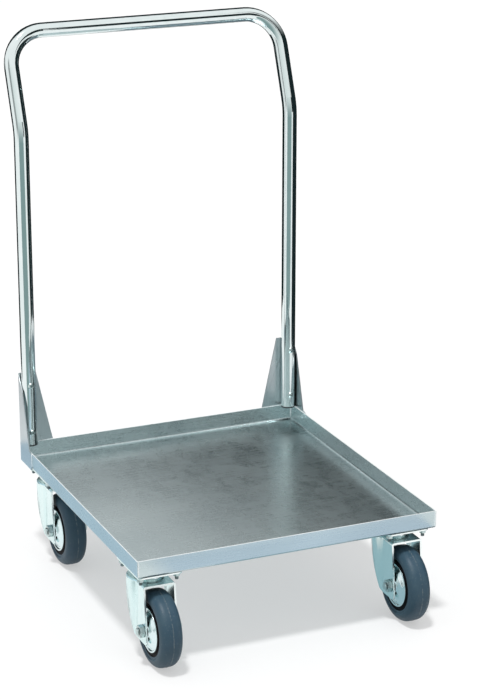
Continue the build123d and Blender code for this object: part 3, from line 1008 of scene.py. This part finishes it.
def stage_mesh(name, verts, faces, material):
    """A mesh of the surroundings."""
    mesh = bpy.data.meshes.new(name)
    mesh.from_pydata(verts, [], faces)
    mesh.materials.append(material)
    piece = bpy.data.objects.new(name, mesh)
    bpy.context.scene.collection.objects.link(piece)
    return piece


def make_floor():
    """Matt floor that takes shadows and otherwise looks white."""
    material, tree, shader = new_material("floor_white")
    glow = spread(tree, camera_like(tree), 0.0, floor_glow, from_low=0.0, from_high=1.0)
    shader.inputs["Base Color"].default_value = (*floor_albedo, 1.0)
    shader.inputs["Roughness"].default_value = floor_roughness
    shader.inputs["Specular IOR Level"].default_value = 0.0
    shader.inputs["Emission Color"].default_value = (*white, 1.0)
    tree.links.new(glow, shader.inputs["Emission Strength"])
    square = [(i * floor_half, j * floor_half, 0.0) for i, j in ((-1, -1), (1, -1), (1, 1), (-1, 1))]
    stage_mesh("floor", square, [(0, 1, 2, 3)], material)


def make_key():
    """Soft sun from above, a little to the left of the front."""
    data = bpy.data.lights.new("key", "SUN")
    data.angle = key_angle
    data.energy = key_strength
    light = bpy.data.objects.new("key", data)
    light.rotation_euler = key_direction.to_track_quat("Z", "Y").to_euler()
    bpy.context.scene.collection.objects.link(light)


# Cards that only reflections see: heights and places in metres, angles of arcs in degrees
card_lift = 2.0 * mm
card_dark = (0.012, 0.022, 0.024)
card_slate = (0.14, 0.19, 0.22)
card_teal = (0.26, 0.36, 0.36)
card_shade = (0.34, 0.48, 0.53)
card_grey = (0.35, 0.37, 0.37)
card_mid = (0.46, 0.53, 0.53)
card_haze = (0.56, 0.71, 0.82)
card_mist = (0.70, 0.79, 0.90)
card_pale = (0.80, 0.85, 0.84)
arc_centre = (0.0, 0.25)
arc_steps = 48
wall_radius = 1.1
wall_height = 0.62
wall_shares = (0.0, 0.98, 1.35)
wall_colours = (card_dark, card_dark, white)
wall_angles = (-50, 150)
wall_rise_right = (75, 0.0075)
wall_rise_left = (105, 0.004)
lean_card_angles = (-172, -152)
lean_card_z = (0.60, 0.90, 1.30, 1.50)
lean_card_colours = (white, card_grey, card_grey, white)
front_card_angles = (-148, -78)
front_card_near = (0.6, 1.3)
front_card_far = 4.2
front_card_z = (card_lift, 1.0, 2.6, 3.6)
front_card_colours = (card_teal, card_mid, card_pale, white)
horizon_x = (1.1, 2.3)
horizon_y = -3.5
horizon_z = (0.60, 2.85)
bar_card_x = (-0.45, 0.60)
bar_card_y = 0.57
bar_card_z = (0.84, 1.45)
right_card_x = (0.29, 0.95)
right_card_y = (-0.30, 1.00)
under_card_x = (-0.08, 0.19)
under_card_y = (-0.45, 0.30)
edge_card_drop = 1.0 * mm
edge_card_reach = 80.0 * mm
edge_card_start = (30.0 * mm, 70.0 * mm)


def reflection_card(name, rows):
    """A card that only mirror-like surfaces see, made of rows of points, each row with its colour."""
    material, tree, shader = new_material(name)
    shader.inputs["Base Color"].default_value = (*black, 1.0)
    shader.inputs["Specular IOR Level"].default_value = 0.0
    shader.inputs["Emission Strength"].default_value = 1.0
    paint = tree.nodes.new("ShaderNodeVertexColor")
    paint.layer_name = "glow"
    tree.links.new(paint.outputs["Color"], shader.inputs["Emission Color"])
    width = len(rows[0][0])
    verts = [point for points, colour in rows for point in points]
    colours = [colour for points, colour in rows for point in points]
    faces = []
    for row in range(len(rows) - 1):
        for i in range(row * width, (row + 1) * width - 1):
            faces.append((i, i + 1, i + width + 1, i + width))
    card = stage_mesh(name, verts, faces, material)
    layer = card.data.color_attributes.new("glow", "FLOAT_COLOR", "POINT")
    for point, colour in zip(layer.data, colours):
        point.color = (*colour, 1.0)
    card.visible_camera = False
    card.visible_diffuse = False
    card.visible_shadow = False
    card.visible_transmission = False
    card.visible_volume_scatter = False


def arc(angles, radius, height):
    """Points at even angles round one centre; radius and height may be functions of the angle."""
    first, last = angles
    x, y = arc_centre
    points = []
    for i in range(arc_steps + 1):
        angle = first + (last - first) * i / arc_steps
        turn = math.radians(angle)
        reach = radius(angle) if callable(radius) else radius
        level = height(angle) if callable(height) else height
        points.append((x + reach * math.cos(turn), y + reach * math.sin(turn), level))
    return points


def wall_level(share):
    """Height of the dark wall at a share of its top, which rises to the right and a little to the left."""
    right_from, right_rise = wall_rise_right
    left_from, left_rise = wall_rise_left

    def level(angle):
        right = right_rise * max(0, right_from - angle)
        left = left_rise * max(0, angle - left_from)
        return share * (wall_height + right + left)

    return level


def front_card_edge(angle):
    """Radius of the front card's near edge."""
    first, last = front_card_angles
    near, far = front_card_near
    return near + (far - near) * (angle - first) / (last - first)


def lying_card(name, across, along, colour):
    """A card flat on the floor."""
    reflection_card(name, [([(x, y, card_lift) for x in across], colour) for y in along])


def standing_card(name, across, y, heights, colour):
    """An upright card that faces along Y."""
    reflection_card(name, [([(x, y, z) for x in across], colour) for z in heights])


def make_arc_cards():
    """Dark wall behind and at the right, a grey card at the left, and one that rises before the front."""
    wall = [
        (arc(wall_angles, wall_radius, wall_level(share)), colour)
        for share, colour in zip(wall_shares, wall_colours)
    ]
    reflection_card("dark_wall", wall)
    lean = [
        (arc(lean_card_angles, wall_radius, height), colour)
        for height, colour in zip(lean_card_z, lean_card_colours)
    ]
    reflection_card("lean_card", lean)
    front = [(arc(front_card_angles, front_card_edge, card_lift), card_teal)]
    front += [
        (arc(front_card_angles, front_card_far, height), colour)
        for height, colour in zip(front_card_z, front_card_colours)
    ]
    reflection_card("front_card", front)


def make_flat_cards():
    """Upright cards before the right front and behind the handle's bar, and two cards on the floor."""
    standing_card("horizon", horizon_x, horizon_y, horizon_z, card_dark)
    standing_card("bar_card", bar_card_x, bar_card_y, bar_card_z, card_dark)
    lying_card("right_card", right_card_x, right_card_y, card_slate)
    # The under card is a painted shadow: reflections see it as the floor's shade under the tray.
    lying_card("under_card", under_card_x, under_card_y, card_shade)


def make_edge_cards():
    """Cards just below the tray: one before its front, clear of the left end, and one at its left."""
    height = tray_low.z - edge_card_drop
    depth = (tray_low.y - edge_card_reach, tray_low.y - edge_card_drop)
    clear, full = (tray_low.x + start for start in edge_card_start)
    places = ((clear, white), (full, card_mist), (tray_high.x, card_mist))
    reflection_card("front_edge_card", [([(x, y, height) for y in depth], colour) for x, colour in places])
    breadth = (tray_low.x - edge_card_reach, tray_low.x - edge_card_drop)
    length = (tray_low.y, tray_high.y + edge_card_reach)
    reflection_card("left_edge_card", [([(x, y, height) for x in breadth], card_haze) for y in length])


make_world()
make_floor()
make_key()
make_arc_cards()
make_flat_cards()
make_edge_cards()
bpy.context.scene.view_settings.view_transform = "Standard"
